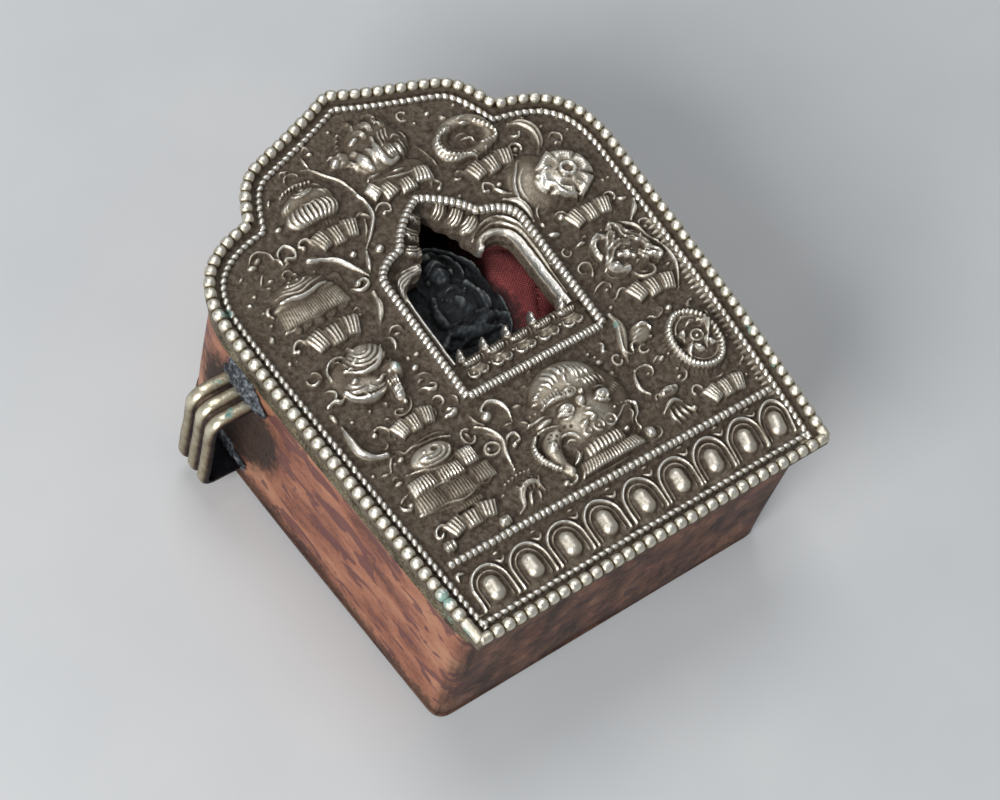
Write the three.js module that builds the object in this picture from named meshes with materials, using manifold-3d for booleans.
// A Himalayan prayer box, or gau: a copper case with a raised silver face under a beaded rim,
// a window with a clay image behind it, two strap loops, and a friction-fit back that carries
// the contents. Millimetres. X runs across the face, Y up to its peak and Z out of it. The box
// lies on its back, and Z = 0 is the underside of the back plate.

import * as THREE from 'three';
import Module from 'manifold-3d';
import { mergeVertices } from 'three/addons/utils/BufferGeometryUtils.js';

const wasm = await Module();
wasm.setup();

// The rim's outline at the bead centres, with Y = 0 on its bottom line
const footHalf = 49.6; // half the width at the foot
const shoulderHalf = 54.7; // half the width at the widest place
const shoulderY = 91;
const notchHalf = 35.3; // the inward corner between shoulder and crown
const notchY = 113.3;
const crownHalf = 25.5; // where the crown turns from its side to its slope
const crownY = 125.7;
const peakY = 134.9;
const sideBow = 1.1; // how far the side bends inwards of a straight rise
const axisLean = -1.4; // the hand-made crown leans this far to one side

// The case
const caseDepth = 54.8; // from the underside of the back to the bead centres
const wall = 1; // copper sheet
const joint = 0.3; // solder line or sliding clearance between neighbours
const wallInset = 0.8; // the wall stands this far inside the bead line
const footInset = 2.2; // and this far at the foot
const cornerRadius = 4;
const backThickness = 0.9;
const flangeThickness = 0.8;
const flangeHeight = 12;
const collarHeight = 4.2;
const collarThickness = 0.5;

// The beaded rim wire
const beadRadius = 1.45;
const beadNeck = 0.85;
const beadWorn = 1.2; // where wear has taken the beads off
const beadPitch = 2.98;
const beadSides = 5;

// The face sheet
const sheet = 1;
const sheetOverhang = 0.9; // how far the sheet passes the bead line
const borderInset = 3.5; // the fine border inside the rim
const borderHeight = 1.1;
const borderHalfWidth = 0.75;

// The window, at the centre line of the wire that frames it
const windowX = 1.7; // hand-made, it stands a little to the right
const windowFoot = 50.6;
const windowHalf = 19.6;
const windowShoulderY = 83.6;
const windowNotchHalf = 11.2;
const windowNotchY = 90.5;
const windowPeakY = 100.3;
const ropeRadius = 1.1;
const ropeSides = 5;
const ropeStep = 2; // one ridge of the twist
const mouldingWidth = 3.3; // across the slope into the window
const mouldingDrop = 4.2; // and its depth
const mouldingThickness = 0.9;
const sillTop = 59.6; // where the sill ends and the opening starts
const sillFlowers = 5;

// The lotus band along the foot
const bandTop = 16.9; // the centre of the wire above the band
const bandWireHalf = 45.2;
const petalCount = 9;
const petalPitch = 10.15;
const petalX = 0.2; // the middle of the row
const petalHalf = 4.1;
const petalTop = 14.8;
const petalFoot = 5.4;

// The strap loops
const loopWidth = 11.6;
const loopReach = 66.4; // from the middle of the box to the loop's outer face
const loopFrontZ = 35.6; // the middle of the front leg
const loopBackZ = 6; // the middle of the back leg
const loopStrip = 1.1;
const reedHeight = 0.75;
const reedCount = 3;
const loopBend = 3.2;
const leftLoopY = 85.2;
const rightLoopY = 82.2;

// The contents
const rollRadius = 7.6;
const rollLength = 84;
const rollCount = 3;
const rollPitch = 20;
const rollY = 52;
const tieThickness = 0.8;
const tieWidth = 2;
const bundleWidth = 82;
const bundleLength = 88;
const bundleThickness = 15;
const bundleY = 54;
const lapHeight = 9; // the cloth's lap beside the image
const lapX = 22;
const lapWidth = 17;
const imageWidth = 27;
const imageHeight = 40;
const imageThickness = 6;
const imageX = -2.6;
const imageFoot = 56;
const imageRelief = 5;

// Heights that follow from the sizes above
const sheetTop = caseDepth - beadRadius - joint;
const sheetUnder = sheetTop - sheet;
const wallTop = sheetUnder - joint;
const wallFoot = backThickness + joint;
const rollZ = backThickness + joint + tieThickness + joint + rollRadius;
const bundleZ = rollZ + rollRadius + joint + tieThickness + joint;
const imageZ = bundleZ + bundleThickness + joint;
const root = 0.5; // how deep a raised form goes into the sheet
const reliefLimit = 10; // no raised form stands higher above the bead line

const v2 = (x, y) => new THREE.Vector2(x, y);
const v3 = (x, y, z) => new THREE.Vector3(x, y, z);

// Closed meshes, joined and cut

function solidOf(geometry) {
  const bare = geometry.clone();
  bare.deleteAttribute('normal');
  bare.deleteAttribute('uv');
  const merged = mergeVertices(bare, 1e-4);
  const corners = Array.from(merged.index.array);
  const triVerts = [];
  for (let i = 0; i < corners.length; i += 3) {
    const [a, b, c] = corners.slice(i, i + 3);
    if (a !== b && b !== c && c !== a) triVerts.push(a, b, c);
  }
  return new wasm.Manifold(new wasm.Mesh({
    numProp: 3,
    vertProperties: new Float32Array(merged.attributes.position.array),
    triVerts: new Uint32Array(triVerts),
  }));
}

function geometryOf(solid) {
  const mesh = solid.getMesh();
  const geometry = new THREE.BufferGeometry();
  geometry.setAttribute('position', new THREE.BufferAttribute(mesh.vertProperties, mesh.numProp));
  geometry.setIndex(new THREE.BufferAttribute(mesh.triVerts, 1));
  return geometry;
}

const join = (solids) => solids.reduce((whole, solid) => whole.add(solid));

function signedVolume(positions, index) {
  const corner = (i) => v3(...positions.slice(3 * index[i], 3 * index[i] + 3));
  let sum = 0;
  for (let i = 0; i < index.length; i += 3) {
    sum += corner(i).dot(corner(i + 1).cross(corner(i + 2)));
  }
  return sum;
}

// A skin over rings of points, closed on itself or with flat ends
function loft(rings, { closed = false, section = null } = {}) {
  const count = rings[0].length;
  const positions = rings.flat().flatMap((p) => [p.x, p.y, p.z]);
  const index = [];
  const spans = closed ? rings.length : rings.length - 1;
  for (let i = 0; i < spans; i++) {
    const here = i * count;
    const next = ((i + 1) % rings.length) * count;
    for (let j = 0; j < count; j++) {
      const k = (j + 1) % count;
      index.push(here + j, here + k, next + k, here + j, next + k, next + j);
    }
  }
  if (!closed) {
    const fan = Array.from({ length: count - 2 }, (_, j) => [0, j + 1, j + 2]);
    const faces = section ? THREE.ShapeUtils.triangulateShape(section, []) : fan;
    if (section && THREE.ShapeUtils.isClockWise(section)) faces.forEach((face) => face.reverse());
    const last = (rings.length - 1) * count;
    for (const [a, b, c] of faces) {
      index.push(a, c, b, last + a, last + b, last + c);
    }
  }
  if (signedVolume(positions, index) < 0) index.reverse();
  const geometry = new THREE.BufferGeometry();
  geometry.setAttribute('position', new THREE.Float32BufferAttribute(positions, 3));
  geometry.setIndex(index);
  return geometry;
}

// A flat piece between two heights
function slab(outer, holes, low, high) {
  const shape = new THREE.Shape(outer);
  shape.holes = holes.map((hole) => new THREE.Path(hole));
  const geometry = new THREE.ExtrudeGeometry(shape, { depth: high - low, bevelEnabled: false });
  return geometry.translate(0, 0, low);
}

// The outline

const leanAt = (y) => axisLean * THREE.MathUtils.smoothstep(y, 0.15 * peakY, 0.8 * peakY);
const onSide = (side) => (p) => v2(side * p.x + leanAt(p.y), p.y);

function pointsOn(curves, steps) {
  return curves.flatMap((curve, i) => curve.getPoints(steps[i]).slice(i ? 1 : 0));
}

function sideCurves() {
  const foot = v2(footHalf, 0);
  const shoulder = v2(shoulderHalf, shoulderY);
  const notch = v2(notchHalf, notchY);
  const bow = v2(shoulderHalf - sideBow, shoulderY / 2);
  const rise = v2(shoulderHalf + 0.1, shoulderY + 11.5);
  const fall = v2(notchHalf + 15.7, notchY - 2.5);
  return [
    new THREE.QuadraticBezierCurve(foot, bow, shoulder),
    new THREE.CubicBezierCurve(shoulder, rise, fall, notch),
  ];
}

function crownCurves() {
  const notch = v2(notchHalf, notchY);
  const crown = v2(crownHalf, crownY);
  const rise = v2(notchHalf - 2.3, notchY + 5.2);
  const turn = v2(crownHalf + 5.5, crownY - 1.9);
  const slope = v2(crownHalf - 6.5, crownY + 2.3);
  const sweep = v2(8, peakY - 3.9);
  return [
    new THREE.CubicBezierCurve(notch, rise, turn, crown),
    new THREE.CubicBezierCurve(crown, slope, sweep, v2(0, peakY)),
  ];
}

// Anticlockwise from the right foot, so that the bottom line is the last edge
function rimLoop() {
  const half = [...pointsOn(sideCurves(), [4, 6]), ...pointsOn(crownCurves(), [4, 3]).slice(1)];
  const right = half.map(onSide(1));
  const left = half.slice(0, -1).reverse().map(onSide(-1));
  return [...right, ...left];
}

// Moves every edge inwards by its own distance, and lets neighbouring edges meet again
function offsetLoop(points, distanceAt) {
  const count = points.length;
  return points.map((p, i) => {
    const before = p.clone().sub(points[(i - 1 + count) % count]).normalize();
    const after = points[(i + 1) % count].clone().sub(p).normalize();
    const reach = [distanceAt((i - 1 + count) % count), distanceAt(i)];
    const a = v2(p.x - before.y * reach[0], p.y + before.x * reach[0]);
    const b = v2(p.x - after.y * reach[1], p.y + after.x * reach[1]);
    const turn = before.cross(after);
    if (Math.abs(turn) < 1e-4) return a;
    return a.addScaledVector(before, b.sub(a).cross(after) / turn);
  });
}

const roundCorner = (before, corner, after, radius) => new THREE.QuadraticBezierCurve(
  corner.clone().lerp(before, radius / corner.distanceTo(before)),
  corner,
  corner.clone().lerp(after, radius / corner.distanceTo(after)),
).getPoints(3);

// The outline drawn in by one distance at the sides and another at the foot
function outline(sides, foot, radius) {
  const rim = rimLoop();
  const points = offsetLoop(rim, (edge) => (edge === rim.length - 1 ? foot : sides));
  const [first, last] = [points[0], points.at(-1)];
  return [
    ...roundCorner(last, first, points[1], radius),
    ...points.slice(1, -1),
    ...roundCorner(points.at(-2), last, first, radius),
  ];
}

const wallOutline = (inset) => outline(wallInset + inset, footInset + inset, cornerRadius - inset / 2);

// Places at even steps along a line of points, with the direction across the line
function stations(points, count) {
  const lengths = [0];
  for (let i = 1; i < points.length; i++) {
    lengths.push(lengths[i - 1] + points[i].distanceTo(points[i - 1]));
  }
  const total = lengths.at(-1);
  const places = [];
  for (let k = 0, i = 1; k <= count; k++) {
    const target = (total * k) / count;
    while (i < points.length - 1 && lengths[i] < target) i++;
    const share = (target - lengths[i - 1]) / (lengths[i] - lengths[i - 1]);
    places.push(points[i - 1].clone().lerp(points[i], share));
  }
  return places.map((p, k) => {
    const ahead = places[Math.min(count, k + 1)].clone().sub(places[Math.max(0, k - 1)]).normalize();
    return { p, across: v2(-ahead.y, ahead.x), share: k / count };
  });
}

function lengthOf(points) {
  return points.slice(1).reduce((sum, p, i) => sum + p.distanceTo(points[i]), 0);
}

// A line carried on past both of its ends
function extended(points, by) {
  const carry = (end, next) => end.clone().add(end.clone().sub(next).setLength(by));
  return [carry(points[0], points[1]), ...points, carry(points.at(-1), points.at(-2))];
}

// The beaded rim

function beadedWire(points, wornStart, wornEnd) {
  const length = lengthOf(points);
  const count = 2 * Math.round(length / beadPitch);
  const rings = stations(points, count).map(({ p, across, share }, k) => {
    const worn = share * length < wornStart || (1 - share) * length < wornEnd;
    const radius = worn ? beadWorn : [beadNeck, beadRadius][k % 2];
    return Array.from({ length: beadSides }, (_, j) => {
      const angle = (2 * Math.PI * (j + 0.5)) / beadSides;
      const out = radius * Math.cos(angle);
      return v3(p.x + across.x * out, p.y + across.y * out, caseDepth + radius * Math.sin(angle));
    });
  });
  return solidOf(loft(rings));
}

// Keeps the part of a wire that lies ahead of a plane across the rim
function mitre(wire, at, ahead) {
  const normal = ahead.clone().normalize();
  return wire.trimByPlane([normal.x, normal.y, 0], at.dot(normal) + joint / 2);
}

function rimWires() {
  const overrun = 2 * beadRadius;
  const foot = v2(footHalf, 0);
  const notch = v2(notchHalf, notchY);
  const peak = v2(leanAt(peakY), peakY);
  const wires = {};
  const bottom = extended([v2(-foot.x, 0), v2(foot.x, 0)], overrun);
  wires.bottom_bead_wire = mitre(beadedWire(bottom, 9, 9), v2(-foot.x, 0), v2(1, -1));
  wires.bottom_bead_wire = mitre(wires.bottom_bead_wire, foot, v2(-1, -1));
  for (const [name, side] of [['left', -1], ['right', 1]]) {
    const place = onSide(side);
    const sidePoints = extended(pointsOn(sideCurves(), [12, 12]).map(place), overrun);
    const crownPoints = extended(pointsOn(crownCurves(), [8, 8]).map(place), overrun);
    const turn = v2(-0.8 * side, 0.6);
    const corner = place(notch);
    let wire = mitre(beadedWire(sidePoints, 12, 0), place(foot), v2(side, 1));
    wires[`${name}_side_bead_wire`] = mitre(wire, corner, turn.clone().negate());
    wire = mitre(beadedWire(crownPoints, 0, side > 0 ? 8 : 4), corner, turn);
    wires[`${name}_crown_bead_wire`] = mitre(wire, peak, v2(side, 0));
  }
  return wires;
}

// Raised forms of the face, all given from the sheet's upper side

// A round or oval boss
function dome(x, y, rx, ry, height, { turn = 0, fine = false, base = sheetTop } = {}) {
  const profile = fine
    ? [v2(0, -root), v2(1, -root), v2(0.88, 0.5 * height), v2(0.5, 0.87 * height), v2(0, height)]
    : [v2(0, -root), v2(1, -root), v2(0.74, 0.68 * height), v2(0, height)];
  const geometry = new THREE.LatheGeometry(profile, fine ? 9 : 6).rotateX(Math.PI / 2);
  return solidOf(geometry.scale(rx, ry, 1).rotateZ(turn).translate(x, y, base));
}

// A smooth line through a few points
function smoothLine(points, steps, ring = false) {
  const curve = new THREE.CatmullRomCurve3(points.map(([x, y]) => v3(x, y, 0)), ring);
  return curve.getPoints(4 * steps).map((p) => v2(p.x, p.y));
}

// A rounded ridge along a smooth line, thinner towards its ends, or ribbed along its back
function ridge(points, halfWidth, height, options = {}) {
  const { steps = 6, tip = 0.35, ribs = 0, ring = false, base = sheetTop } = options;
  const places = stations(smoothLine(points, steps, ring), steps);
  if (ring) places.pop();
  const rings = places.map(({ p, across, share }, k) => {
    const swell = ring ? 1 : THREE.MathUtils.lerp(tip, 1, Math.sin(Math.PI * share) ** 0.7);
    const rib = k % 2 ? 1 : 1 - ribs;
    const w = halfWidth * swell * (ribs ? (1 + rib) / 2 : 1);
    const h = height * (ring ? 1 : 0.4 + 0.6 * swell) * rib;
    const at = (side, z) => v3(p.x + across.x * side, p.y + across.y * side, base + z);
    const crest = halfWidth < 1 ? [at(0, h)] : [at(0.5 * w, h), at(-0.5 * w, h)];
    return [at(-w, -root), at(w, -root), ...crest];
  });
  return solidOf(loft(rings, { closed: ring }));
}

const circle = (x, y, rx, ry, count = 8) => Array.from({ length: count }, (_, i) => {
  const angle = (2 * Math.PI * i) / count;
  return [x + rx * Math.cos(angle), y + ry * Math.sin(angle)];
});

// The fine border that follows the rim
function borderRidge(loop) {
  const left = offsetLoop(loop, () => -borderHalfWidth);
  const right = offsetLoop(loop, () => borderHalfWidth);
  const at = (p, z) => v3(p.x, p.y, sheetTop + z);
  const rings = loop.map((p, i) => [at(left[i], -root), at(right[i], -root), at(p, borderHeight)]);
  return solidOf(loft(rings, { closed: true }));
}

// A spiral tendril that winds in from its outer end
function curl(x, y, radius, start, turns) {
  const count = 6;
  const points = Array.from({ length: count + 1 }, (_, i) => {
    const angle = start + (2 * Math.PI * turns * i) / count;
    const reach = radius * (1 - (0.75 * i) / count);
    return [x + reach * Math.cos(angle), y + reach * Math.sin(angle)];
  });
  return ridge(points, 0.55, 1.5, { steps: 5, tip: 0.7 });
}

// The ribbed scarf under each emblem, a sagging crescent with a tendril at its outer end
function scarf(x, y, width, slope = 0) {
  const half = width / 2;
  const drop = Math.tan(slope) * half;
  const line = [[x - half, y + 1.4 - drop], [x, y - 1], [x + half, y + 1.4 + drop]];
  return [
    ridge(line, 2.3, 2.8, { steps: 10, ribs: 0.22 }),
    curl(x - half, y + 2.2 - drop, 1.8, 0, 1.1),
  ];
}

function jewelEmblem(x, y) {
  return [
    ridge([[x - 6.5, y - 6], [x, y - 8.6], [x + 7, y - 5.6]], 2.3, 3, { steps: 10, ribs: 0.2 }),
    ridge([[x - 4, y - 4], [x + 1, y - 5], [x + 6, y - 3]], 0.9, 4),
    dome(x - 1.5, y + 1.5, 3.2, 4.8, 5.2, { fine: true }),
    dome(x + 3.6, y + 2, 3, 4.6, 4.6),
    dome(x + 1.2, y + 6, 3.2, 3.8, 4.4),
    ridge([[x - 5, y - 3], [x - 9.5, y + 2.5], [x - 6.5, y + 7]], 1.8, 3),
    ridge([[x + 6, y - 3], [x + 9.8, y + 2], [x + 7.5, y + 8]], 1.5, 2.6),
    ridge([[x - 2.5, y + 8], [x + 0.5, y + 12.5]], 1.4, 2.2, { steps: 4 }),
  ];
}

function vaseEmblem(x, y) {
  return [
    dome(x, y, 7.2, 5.4, 4.2, { fine: true }),
    dome(x, y + 1.6, 3.6, 2.4, 5.2),
    ridge([[x - 5.2, y + 5], [x, y + 6.8], [x + 5.2, y + 4.6]], 0.9, 2.4),
    dome(x + 0.5, y + 8.2, 2.2, 1.6, 2.2),
  ];
}

function parasolEmblem(x, y) {
  return [
    dome(x, y + 3, 8.6, 3.8, 4.6, { fine: true }),
    dome(x, y + 7.6, 2.2, 1.7, 2.8),
    ridge([[x - 9.6, y + 0.4], [x, y + 1.7], [x + 9.6, y + 2]], 0.9, 4.4),
    ridge([[x - 8.8, y - 2.4], [x, y - 2.6], [x + 9, y - 1]], 2.4, 3.4, { steps: 12, ribs: 0.16, tip: 0.9 }),
  ];
}

function conchEmblem(x, y) {
  return [
    dome(x - 1, y + 0.8, 7, 4.4, 4.2, { turn: -0.3, fine: true }),
    dome(x + 1.6, y + 5, 4.2, 3, 4.2),
    dome(x + 2.4, y + 7.6, 2.2, 1.7, 3.2),
    ridge([[x + 3, y + 2], [x + 7, y - 3], [x + 4.6, y - 9.6]], 2, 3),
    ridge([[x - 9.5, y + 0.4], [x - 3, y - 3.4], [x + 3, y - 2.6]], 1.3, 3.4),
  ];
}

function bannerEmblem(x, y) {
  return [
    dome(x, y + 5, 6.4, 3.2, 3.8, { fine: true }),
    ridge([[x - 9, y + 7.6], [x, y + 8.6], [x + 9, y + 7.4]], 0.8, 2),
    ridge([[x - 8, y], [x, y - 1.2], [x + 9.6, y + 1]], 2, 3.2, { steps: 12, ribs: 0.16, tip: 0.9 }),
    ridge([[x - 8.8, y - 4.9], [x, y - 5.8], [x + 10, y - 4]], 2.2, 2.6, { steps: 12, ribs: 0.18, tip: 0.9 }),
  ];
}

function fishEmblem(x, y) {
  return [
    ridge([[x - 2, y + 5.6], [x - 6.6, y + 2], [x - 6, y - 3], [x + 0.6, y - 6]], 2.1, 3.6),
    ridge([[x + 1.6, y + 5.2], [x + 6.2, y + 2], [x + 6.8, y - 2], [x + 3, y - 5.6]], 1.9, 3.4),
    ridge([[x - 2, y + 0.6], [x + 3.4, y - 0.6]], 0.9, 2.2, { steps: 4 }),
  ];
}

function rosetteEmblem(x, y) {
  const petals = Array.from({ length: 5 }, (_, i) => {
    const angle = 0.4 + (2 * Math.PI * i) / 5;
    const reach = 4.4;
    return dome(x + reach * Math.cos(angle), y + reach * Math.sin(angle), 3.5, 3, 3.4, { turn: angle });
  });
  return [dome(x - 8, y + 0.4, 6.4, 7, 1.6, { fine: true }), ...petals, dome(x, y, 2.6, 2.6, 4.6)];
}

function knotEmblem(x, y) {
  const loop = (dx, dy, rx, ry) => (
    ridge(circle(x + dx, y + dy, rx, ry), 0.95, 2.8, { steps: 9, ring: true })
  );
  return [loop(-1.6, 1.6, 4.6, 3.2), loop(1.8, -1.8, 4.6, 3.2), dome(x + 2.6, y + 4, 2.6, 2.2, 2.8),
    dome(x - 2.8, y - 4, 2.4, 2.2, 2.8)];
}

function wheelEmblem(x, y) {
  const spoke = (i) => {
    const angle = 0.5 + (Math.PI * i) / 2;
    const at = (reach, bend) => [x + reach * Math.cos(angle + bend), y + reach * Math.sin(angle + bend)];
    return ridge([at(1, 0), at(3.2, 0.3), at(4.6, 0.9)], 0.9, 2.8, { steps: 3 });
  };
  return [
    ridge(circle(x, y, 5.8, 6.8), 1.2, 2.8, { steps: 16, ribs: 0.2, ring: true }),
    dome(x, y, 1.8, 1.8, 3.6),
    ...[0, 1, 2, 3].map(spoke),
  ];
}

// A guardian mask with bulging eyes, a fringe of teeth and its two arms
function maskEmblem(x, y) {
  const teeth = [-4.5, 0, 4.5].map((dx) => dome(x + dx, y - 10.4, 1.6, 1.4, 3.8));
  return [
    dome(x, y - 1, 10, 11, 6, { fine: true }),
    dome(x + 0.6, y + 7, 9, 6.6, 4.8, { fine: true }),
    dome(x - 4, y + 3, 2, 1.9, 7),
    dome(x + 5.4, y + 2.4, 2, 1.9, 6.8),
    dome(x + 0.6, y - 1.2, 2.6, 2.2, 7.8),
    ridge([[x - 7, y + 5.2], [x - 3.6, y + 6.4], [x, y + 4.6]], 1, 6.8),
    ridge([[x + 1.8, y + 4.4], [x + 5.2, y + 6], [x + 8, y + 4.2]], 1, 6.4),
    ridge([[x - 7, y - 6], [x, y - 7.6], [x + 7.6, y - 6]], 1.4, 6),
    ...teeth,
    ridge([[x - 12, y - 13.4], [x - 15, y - 6], [x - 12, y], [x - 6, y - 1.4], [x - 6.4, y - 6]], 2, 3.8),
    ridge([[x + 14, y - 13], [x + 12.6, y - 8], [x + 12.4, y - 3], [x + 8.4, y - 2]], 1.6, 3.6),
    ridge([[x - 9, y - 12.8], [x + 0.5, y - 13.4], [x + 10, y - 12.6]], 1.2, 2, { steps: 10, ribs: 0.25 }),
  ];
}

function lotusPetal(x) {
  const rise = petalTop - petalFoot;
  const arch = [
    [x - petalHalf, petalFoot],
    [x - petalHalf, petalFoot + 0.55 * rise],
    [x - 0.6 * petalHalf, petalFoot + 0.9 * rise],
    [x, petalTop],
    [x + 0.6 * petalHalf, petalFoot + 0.9 * rise],
    [x + petalHalf, petalFoot + 0.55 * rise],
    [x + petalHalf, petalFoot],
  ];
  return [
    ridge(arch, 0.8, 1.7, { tip: 0.7, steps: 7 }),
    dome(x, petalFoot + 0.42 * rise, 2.3, 3.4, 2.8),
  ];
}

// Leaves, stems and tendrils that fill the ground between the emblems
function scrollwork() {
  const stems = [
    [[-17, 121.5], [-13.5, 115.5], [-10.6, 109.5], [-10.4, 103]],
    [[-29.6, 98.4], [-24.5, 95.4], [-20.5, 89]],
    [[-48.2, 60.5], [-47.8, 53.5], [-44.8, 48.8], [-41.5, 47.4]],
    [[38.4, 106], [39, 101.6], [36.4, 97.6]],
    [[22.6, 51], [21, 45.4], [20.8, 40.5]],
    [[46.4, 67], [47.2, 60.5], [45.6, 55]],
    [[23.5, 42], [27.8, 46.2], [35, 47.4]],
    [[-18.4, 45.4], [-17.6, 41.4], [-19.4, 30.5]],
  ];
  const leaves = [
    [[18.6, 20.4], [21.6, 25.6], [27.6, 23.6]],
    [[-23.4, 20.4], [-19.6, 24.8], [-15.6, 22.6]],
  ];
  const curls = [
    [-14, 123, 1.7, 3], [-40, 104.4, 2.4, 0.4], [-33.4, 102.6, 2, 0], [-6.6, 101.6, 2, 3],
    [-23.6, 86.8, 1.9, 3.4], [-15.4, 45, 2.9, 0], [-24.6, 58, 2, 3], [-24.2, 42.4, 1.9, 0],
    [11.4, 121.2, 1.6, 0], [34.2, 103.4, 2, 3.6], [26.2, 64.8, 2, 1.6], [46.4, 67.4, 2, 3],
    [22.4, 34.8, 2.6, 3.2], [27.8, 36.6, 1.5, 3], [18, 45.6, 1.6, 1.2], [42.6, 98.2, 2, 0.4],
  ];
  return [
    ...stems.map((line) => ridge(line, 0.9, 1.8, { steps: 5 })),
    ...leaves.map((line) => ridge(line, 2, 2, { steps: 6, ribs: 0.25 })),
    ...curls.map(([x, y, radius, start]) => curl(x, y, radius, start, 1.2)),
  ];
}

function faceRelief() {
  const petals = Array.from({ length: petalCount }, (_, i) => (
    lotusPetal(petalX + (i - (petalCount - 1) / 2) * petalPitch)
  )).flat();
  const rim = rimLoop();
  const inner = offsetLoop(rim, () => borderInset);
  const border = borderRidge(inner);
  return [
    border,
    ...petals,
    ...jewelEmblem(1, 114.5),
    ...vaseEmblem(-21.8, 111.4), ...scarf(-21, 100.8, 13),
    ...parasolEmblem(-36.6, 89), ...scarf(-36.4, 78.8, 15),
    ...conchEmblem(-36, 65.2), ...scarf(-34.8, 51, 13),
    ...bannerEmblem(-33.8, 37.6), ...scarf(-35, 24.6, 15),
    ...fishEmblem(21.8, 109), ...scarf(22.6, 99.8, 14),
    ...rosetteEmblem(38.4, 89), ...scarf(36, 76.4, 13),
    ...knotEmblem(37.2, 65.4), ...scarf(37.8, 52.4, 14, -0.16),
    ...wheelEmblem(38.4, 36.6), ...scarf(37, 22.4, 11, -0.16),
    ...maskEmblem(3, 33),
    ...scrollwork(),
  ];
}

// The window

function windowHalfPoints() {
  const shoulder = v2(windowHalf, windowShoulderY);
  const notch = v2(windowNotchHalf, windowNotchY);
  const outer = [v2(windowHalf, windowShoulderY + 4.4), v2(windowNotchHalf + 3.8, windowNotchY - 0.7)];
  const inner = [v2(windowNotchHalf - 2, windowNotchY + 4), v2(4, windowPeakY - 1.5)];
  return [v2(windowHalf, windowFoot), ...pointsOn([
    new THREE.CubicBezierCurve(shoulder, ...outer, notch),
    new THREE.CubicBezierCurve(notch, ...inner, v2(0, windowPeakY)),
  ], [4, 4])];
}

function windowLoop(inset) {
  const half = windowHalfPoints();
  const right = half.map((p) => v2(windowX + p.x, p.y));
  const left = half.slice(0, -1).reverse().map((p) => v2(windowX - p.x, p.y));
  return offsetLoop([...right, ...left], () => inset);
}

// A twisted wire: its section turns by a fixed step from ridge to ridge
function twistedWire(points, closedAngle = 0.62) {
  const count = Math.round(lengthOf(points) / ropeStep);
  const rings = stations(points, count).map(({ p, across }, k) => (
    Array.from({ length: ropeSides }, (_, j) => {
      const angle = (2 * Math.PI * j) / ropeSides + k * closedAngle;
      const out = ropeRadius * Math.cos(angle);
      const z = sheetTop + joint + ropeRadius * (1 + Math.sin(angle));
      return v3(p.x + across.x * out, p.y + across.y * out, z);
    })
  ));
  return loft(rings);
}

function archWire() {
  const loop = windowLoop(0);
  const lift = 2 * ropeRadius + joint;
  const foot = (p) => v2(p.x, p.y + lift);
  return twistedWire([foot(loop[0]), ...loop.slice(1, -1), foot(loop.at(-1))]);
}

function sillWire() {
  const half = windowHalf + ropeRadius;
  return twistedWire([v2(windowX - half, windowFoot), v2(windowX + half, windowFoot)]);
}

function bandWire() {
  return twistedWire([v2(-bandWireHalf, bandTop), v2(bandWireHalf, bandTop)]);
}

// The reeded slope that leads from the framing wire down into the opening
function windowMoulding() {
  const top = sheetTop;
  const start = ropeRadius + joint;
  const middle = start + mouldingWidth / 2;
  const end = start + mouldingWidth;
  const section = [
    [start, top], [middle - 0.4, top - 0.3 * mouldingDrop], [middle, top - 0.55 * mouldingDrop],
    [end - 0.3, top - 0.75 * mouldingDrop], [end, top - mouldingDrop],
    [end - mouldingThickness, top - mouldingDrop], [start, top - mouldingThickness],
  ];
  const loops = section.map(([inset]) => windowLoop(inset).slice(1, -1));
  const legs = loops.map((loop, k) => {
    const inset = section[k][0];
    const leg = (side) => v2(windowX + side * (windowHalf - inset), sillTop + joint);
    return [leg(1), ...loop, leg(-1)];
  });
  const rings = legs[0].map((_, i) => legs.map((leg, k) => v3(leg[i].x, leg[i].y, section[k][1])));
  const outlinePoints = section.map(([inset, z]) => v2(inset, z));
  const slope = solidOf(loft(rings, { section: outlinePoints }));
  const deep = { base: top - 0.8 * mouldingDrop };
  const scrolls = [-1, 1].flatMap((side) => {
    const at = (x, y) => [windowX + side * x, y];
    const shoulder = windowShoulderY;
    const edge = windowHalf - end;
    const volute = [
      at(edge + 0.6, shoulder - 5), at(edge - 0.6, shoulder - 0.8),
      at(edge - 4, shoulder + 1), at(edge - 7, shoulder - 0.4),
    ];
    const cusp = [at(edge - 2.2, shoulder + 3.2), at(edge - 5.4, shoulder + 4.6), at(edge - 8, shoulder + 4)];
    return [
      ridge(volute, 1.7, 1.9, { steps: 7, tip: 0.7, ...deep }),
      ridge(cusp, 1.6, 1.9, { steps: 5, tip: 0.7, ...deep }),
    ];
  });
  return join([slope, ...scrolls]);
}

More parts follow.
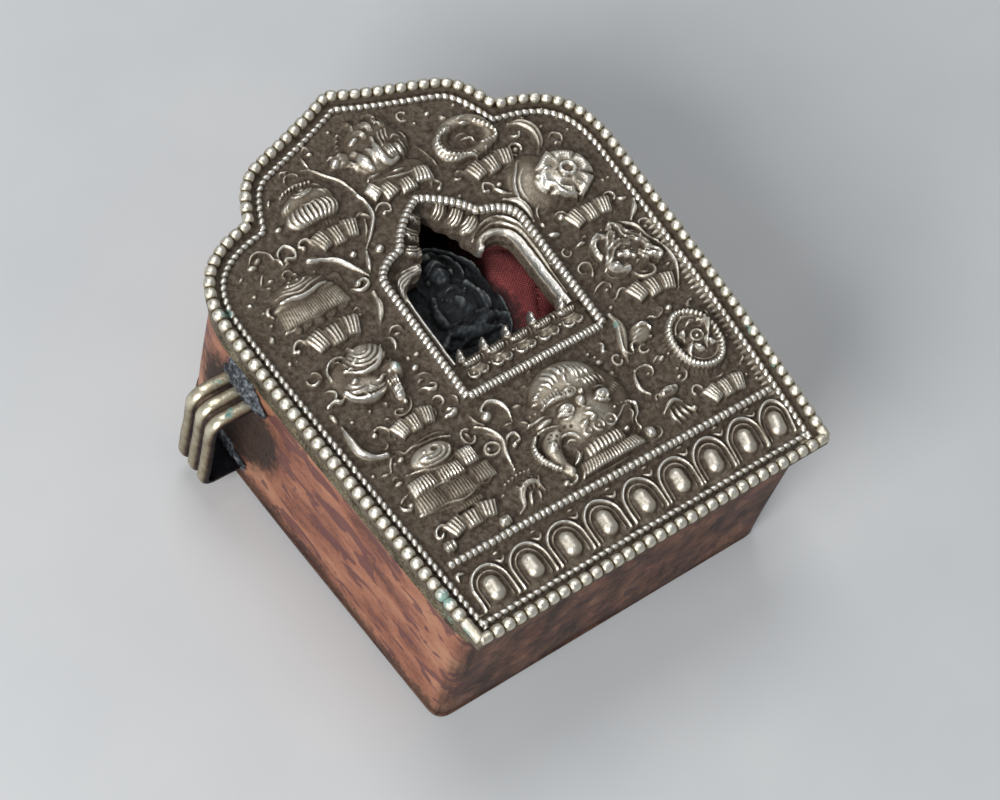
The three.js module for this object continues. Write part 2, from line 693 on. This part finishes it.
// A sloping ledge with a row of small lotus flowers
function windowSill() {
  const half = windowHalf - ropeRadius - joint;
  const foot = windowFoot + ropeRadius + joint;
  const drop = 0.6 * mouldingDrop;
  const rings = [-half, half].map((x) => [
    v3(windowX + x, foot, sheetTop - mouldingThickness), v3(windowX + x, sillTop, sheetTop - drop - mouldingThickness),
    v3(windowX + x, sillTop, sheetTop - drop), v3(windowX + x, foot, sheetTop),
  ]);
  const ledge = solidOf(loft(rings));
  const pitch = (2 * half) / (sillFlowers + 0.2);
  const flowers = Array.from({ length: sillFlowers }, (_, i) => {
    const x = windowX + (i - (sillFlowers - 1) / 2) * pitch;
    const low = { base: sheetTop - 0.5 * drop };
    return [
      dome(x, foot + 2.8, 2.3, 1.7, 2.2, low),
      ridge([[x - 2.6, foot + 5.4], [x, foot + 4.8], [x + 2.6, foot + 5.4]], 0.7, 1.8, { steps: 4, ...low }),
      dome(x, sillTop - 0.6, 1.1, 1.2, 1.8, { base: sheetTop - drop }),
    ];
  }).flat();
  return join([ledge, ...flowers]);
}

function facePlate() {
  const hole = windowLoop(ropeRadius);
  const plate = slab(outline(-sheetOverhang, -sheetOverhang, 1.2), [hole], sheetUnder, sheetTop);
  const clear = ropeRadius + joint;
  const overWindow = slab(windowLoop(-clear), [], sheetTop, caseDepth + reliefLimit);
  const band = [v2(-bandWireHalf - joint, bandTop - clear), v2(bandWireHalf + joint, bandTop - clear),
    v2(bandWireHalf + joint, bandTop + clear), v2(-bandWireHalf - joint, bandTop + clear)];
  const overBand = slab(band, [], sheetTop, caseDepth + reliefLimit);
  const relief = join(faceRelief()).subtract(solidOf(overWindow)).subtract(solidOf(overBand));
  return solidOf(plate).add(relief);
}

// A strap with reeds along its outside, bent round a square channel
function strapLoop(side, y) {
  const seat = Math.max(...wallOutline(0).map((p) => side * p.x)) + joint;
  const out = loopReach - loopStrip - reedHeight + loopStrip / 2;
  const path = [];
  path.push(v2(seat, loopFrontZ));
  for (let i = 0; i <= 3; i++) {
    const angle = Math.PI / 2 - (i * Math.PI) / 6;
    path.push(v2(out - loopBend + loopBend * Math.cos(angle), loopFrontZ - loopBend + loopBend * Math.sin(angle)));
  }
  for (let i = 0; i <= 3; i++) {
    const angle = (-i * Math.PI) / 6;
    path.push(v2(out - loopBend + loopBend * Math.cos(angle), loopBackZ + loopBend + loopBend * Math.sin(angle)));
  }
  path.push(v2(seat, loopBackZ));
  const reed = loopWidth / reedCount;
  const section = [v2(-loopStrip / 2, -loopWidth / 2)];
  for (let i = 0; i < reedCount; i++) {
    const start = -loopWidth / 2 + i * reed;
    section.push(v2(loopStrip / 2, start + 0.04 * reed));
    section.push(v2(loopStrip / 2 + reedHeight, start + 0.3 * reed));
    section.push(v2(loopStrip / 2 + reedHeight, start + 0.7 * reed));
    section.push(v2(loopStrip / 2, start + 0.96 * reed));
  }
  section.push(v2(-loopStrip / 2, loopWidth / 2));
  const rings = path.map((p, i) => {
    const before = path[Math.max(0, i - 1)];
    const after = path[Math.min(path.length - 1, i + 1)];
    const ahead = after.clone().sub(before).normalize();
    const outward = v2(-ahead.y, ahead.x);
    return section.map((q) => v3(side * (p.x + outward.x * q.x), y + q.y, p.y + outward.y * q.x));
  });
  return loft(rings, { section });
}

// The contents

// A rolled paper prayer, with the dimple of its core at either end
function prayerRoll() {
  const end = rollLength / 2;
  const half = [v2(0, end - 1), v2(1.8, end - 1), v2(2.2, end), v2(rollRadius, end)];
  const profile = [...half.map((p) => v2(p.x, -p.y)), ...half.reverse()];
  return new THREE.LatheGeometry(profile, 20);
}

function rollTie() {
  const inner = rollRadius + joint;
  const outer = inner + tieThickness;
  const profile = [
    v2(inner, -tieWidth / 2), v2(outer, -tieWidth / 2), v2(outer, tieWidth / 2), v2(inner, tieWidth / 2),
    v2(inner, -tieWidth / 2),
  ];
  return new THREE.LatheGeometry(profile, 20);
}

// Folded woollen cloth: a pad with rounded edges, shallow folds and a lap beside the image
function clothBundle() {
  const across = 16;
  const along = 10;
  const rounding = (t) => Math.sqrt(Math.max(0, 1 - Math.abs(t) ** 6));
  const lap = (x, v) => {
    const offset = (x - lapX) / (lapWidth / 2);
    return Math.abs(offset) < 1 ? lapHeight * Math.cos((offset * Math.PI) / 2) ** 0.7 * rounding(v) : 0;
  };
  const upper = (x, u, v) => bundleThickness * (0.35 + 0.65 * rounding(u) * rounding(v))
    - 0.5 * (1 - Math.cos((6 * Math.PI * u))) * rounding(v) + lap(x, v);
  const point = (i, j, top) => {
    const u = (2 * i) / across - 1;
    const v = (2 * j) / along - 1;
    const x = (bundleWidth / 2) * u * (1 - 0.04 * v * v);
    const y = bundleY + (bundleLength / 2) * v * (1 - 0.03 * u * u);
    const low = bundleThickness * 0.22 * (1 - rounding(u) * rounding(v));
    return v3(x, y, bundleZ + (top ? upper(x, u, v) : low));
  };
  const positions = [];
  const index = [];
  const at = {};
  const vertex = (i, j, top) => {
    const key = `${i},${j},${top}`;
    if (at[key] === undefined) {
      at[key] = positions.length / 3;
      positions.push(...point(i, j, top).toArray());
    }
    return at[key];
  };
  const quad = (a, b, c, d) => index.push(a, b, c, a, c, d);
  for (let i = 0; i < across; i++) {
    for (let j = 0; j < along; j++) {
      quad(vertex(i, j, true), vertex(i + 1, j, true), vertex(i + 1, j + 1, true), vertex(i, j + 1, true));
      quad(vertex(i, j, false), vertex(i, j + 1, false), vertex(i + 1, j + 1, false), vertex(i + 1, j, false));
    }
  }
  for (let i = 0; i < across; i++) {
    quad(vertex(i, 0, false), vertex(i + 1, 0, false), vertex(i + 1, 0, true), vertex(i, 0, true));
    quad(vertex(i + 1, along, false), vertex(i, along, false), vertex(i, along, true), vertex(i + 1, along, true));
  }
  for (let j = 0; j < along; j++) {
    quad(vertex(across, j, false), vertex(across, j + 1, false), vertex(across, j + 1, true), vertex(across, j, true));
    quad(vertex(0, j + 1, false), vertex(0, j, false), vertex(0, j, true), vertex(0, j + 1, true));
  }
  const geometry = new THREE.BufferGeometry();
  geometry.setAttribute('position', new THREE.Float32BufferAttribute(positions, 3));
  geometry.setIndex(index);
  return geometry;
}

// A pressed clay tablet with a seated figure before a round halo
function clayImage() {
  const half = imageWidth / 2;
  const shape = new THREE.Shape();
  shape.moveTo(-half, 0);
  shape.lineTo(half, 0);
  shape.lineTo(half, 0.55 * imageHeight);
  shape.quadraticCurveTo(half, 0.86 * imageHeight, 0, imageHeight);
  shape.quadraticCurveTo(-half, 0.86 * imageHeight, -half, 0.55 * imageHeight);
  const slabOf = new THREE.ExtrudeGeometry(shape, {
    depth: imageThickness - 1.6, bevelThickness: 0.8, bevelSize: 0.8, bevelOffset: -0.8,
    bevelSegments: 1, curveSegments: 4,
  });
  const tablet = solidOf(slabOf.translate(imageX, imageFoot, imageZ + 0.8));
  const base = { base: imageZ + imageThickness };
  const x = imageX;
  const y = imageFoot;
  const h = imageRelief;
  return join([
    tablet,
    dome(x, y + 4.6, 11, 3, 0.5 * h, base),
    dome(x, y + 9.6, 10, 4.2, 0.85 * h, { fine: true, ...base }),
    dome(x, y + 17.4, 5.6, 8, 0.8 * h, { fine: true, ...base }),
    dome(x, y + 28, 3.6, 4.4, h, { fine: true, ...base }),
    dome(x, y + 32.6, 1.7, 1.6, 0.8 * h, base),
    ridge([[x - 5, y + 22], [x - 7.4, y + 16], [x - 3, y + 11.6]], 1.7, 0.7 * h, base),
    ridge([[x + 5, y + 22], [x + 7.4, y + 16], [x + 3, y + 11.6]], 1.7, 0.7 * h, base),
    ridge([[x - 8.6, y + 20], [x - 7.4, y + 29], [x, y + 35.4], [x + 7.4, y + 29], [x + 8.6, y + 20]], 0.8, 0.3 * h, base),
  ]);
}

// The assembly

const finishes = {
  silver: { color: '#a39c8d', roughness: 0.32, metalness: 1 },
  wire: { color: '#b9b2a0', roughness: 0.3, metalness: 1 },
  brass: { color: '#7d735c', roughness: 0.45, metalness: 0.9 },
  copper: { color: '#94553f', roughness: 0.5, metalness: 0.9 },
  clay: { color: '#2c3036', roughness: 0.8, metalness: 0 },
  wool: { color: '#8e2f34', roughness: 0.95, metalness: 0 },
  paper: { color: '#b9a27a', roughness: 0.9, metalness: 0 },
  thread: { color: '#a33a2b', roughness: 0.9, metalness: 0 },
};
for (const finish of Object.values(finishes)) {
  Object.assign(finish, { material: new THREE.MeshStandardMaterial({ ...finish }) });
}

function part(name, geometry, finish) {
  const mesh = new THREE.Mesh(geometry, finishes[finish].material);
  mesh.name = name;
  return mesh;
}

const frontCase = new THREE.Group();
frontCase.add(part('face_plate', geometryOf(facePlate()), 'silver'));
for (const [name, wire] of Object.entries(rimWires())) {
  frontCase.add(part(name, geometryOf(wire), 'wire'));
}
frontCase.add(part('window_arch_wire', archWire(), 'silver'));
frontCase.add(part('window_sill_wire', sillWire(), 'silver'));
frontCase.add(part('window_moulding', geometryOf(windowMoulding()), 'silver'));
frontCase.add(part('window_sill', geometryOf(windowSill()), 'silver'));
frontCase.add(part('lotus_band_wire', bandWire(), 'silver'));
frontCase.add(part('front_collar', slab(
  wallOutline(-joint - collarThickness),
  [wallOutline(-joint)],
  wallTop - collarHeight,
  wallTop,
), 'brass'));
frontCase.add(part('case_wall', slab(wallOutline(0), [wallOutline(wall)], wallFoot, wallTop), 'copper'));
frontCase.add(part('left_strap_loop', strapLoop(-1, leftLoopY), 'brass'));
frontCase.add(part('right_strap_loop', strapLoop(1, rightLoopY), 'brass'));

const backTray = new THREE.Group();
const flangeInset = wall + joint;
backTray.add(part('back_plate', slab(wallOutline(0), [], 0, backThickness), 'copper'));
backTray.add(part('back_flange', slab(
  wallOutline(flangeInset),
  [wallOutline(flangeInset + flangeThickness)],
  wallFoot,
  wallFoot + flangeHeight,
), 'copper'));
for (let i = 0; i < rollCount; i++) {
  const x = (i - (rollCount - 1) / 2) * rollPitch;
  const roll = part(`prayer_roll_${i + 1}`, prayerRoll(), 'paper');
  const tie = part(`roll_tie_${i + 1}`, rollTie(), 'thread');
  roll.position.set(x, rollY, rollZ);
  tie.position.set(x, rollY, rollZ);
  backTray.add(roll, tie);
}
backTray.add(part('cloth_bundle', clothBundle(), 'wool'));
backTray.add(part('clay_image', geometryOf(clayImage()), 'clay'));

const prayerBox = new THREE.Group();
prayerBox.add(frontCase, backTray);
const extent = new THREE.Box3().setFromObject(prayerBox, true);
prayerBox.position.set(-(extent.min.x + extent.max.x) / 2, -(extent.min.y + extent.max.y) / 2, 0);

export default prayerBox;
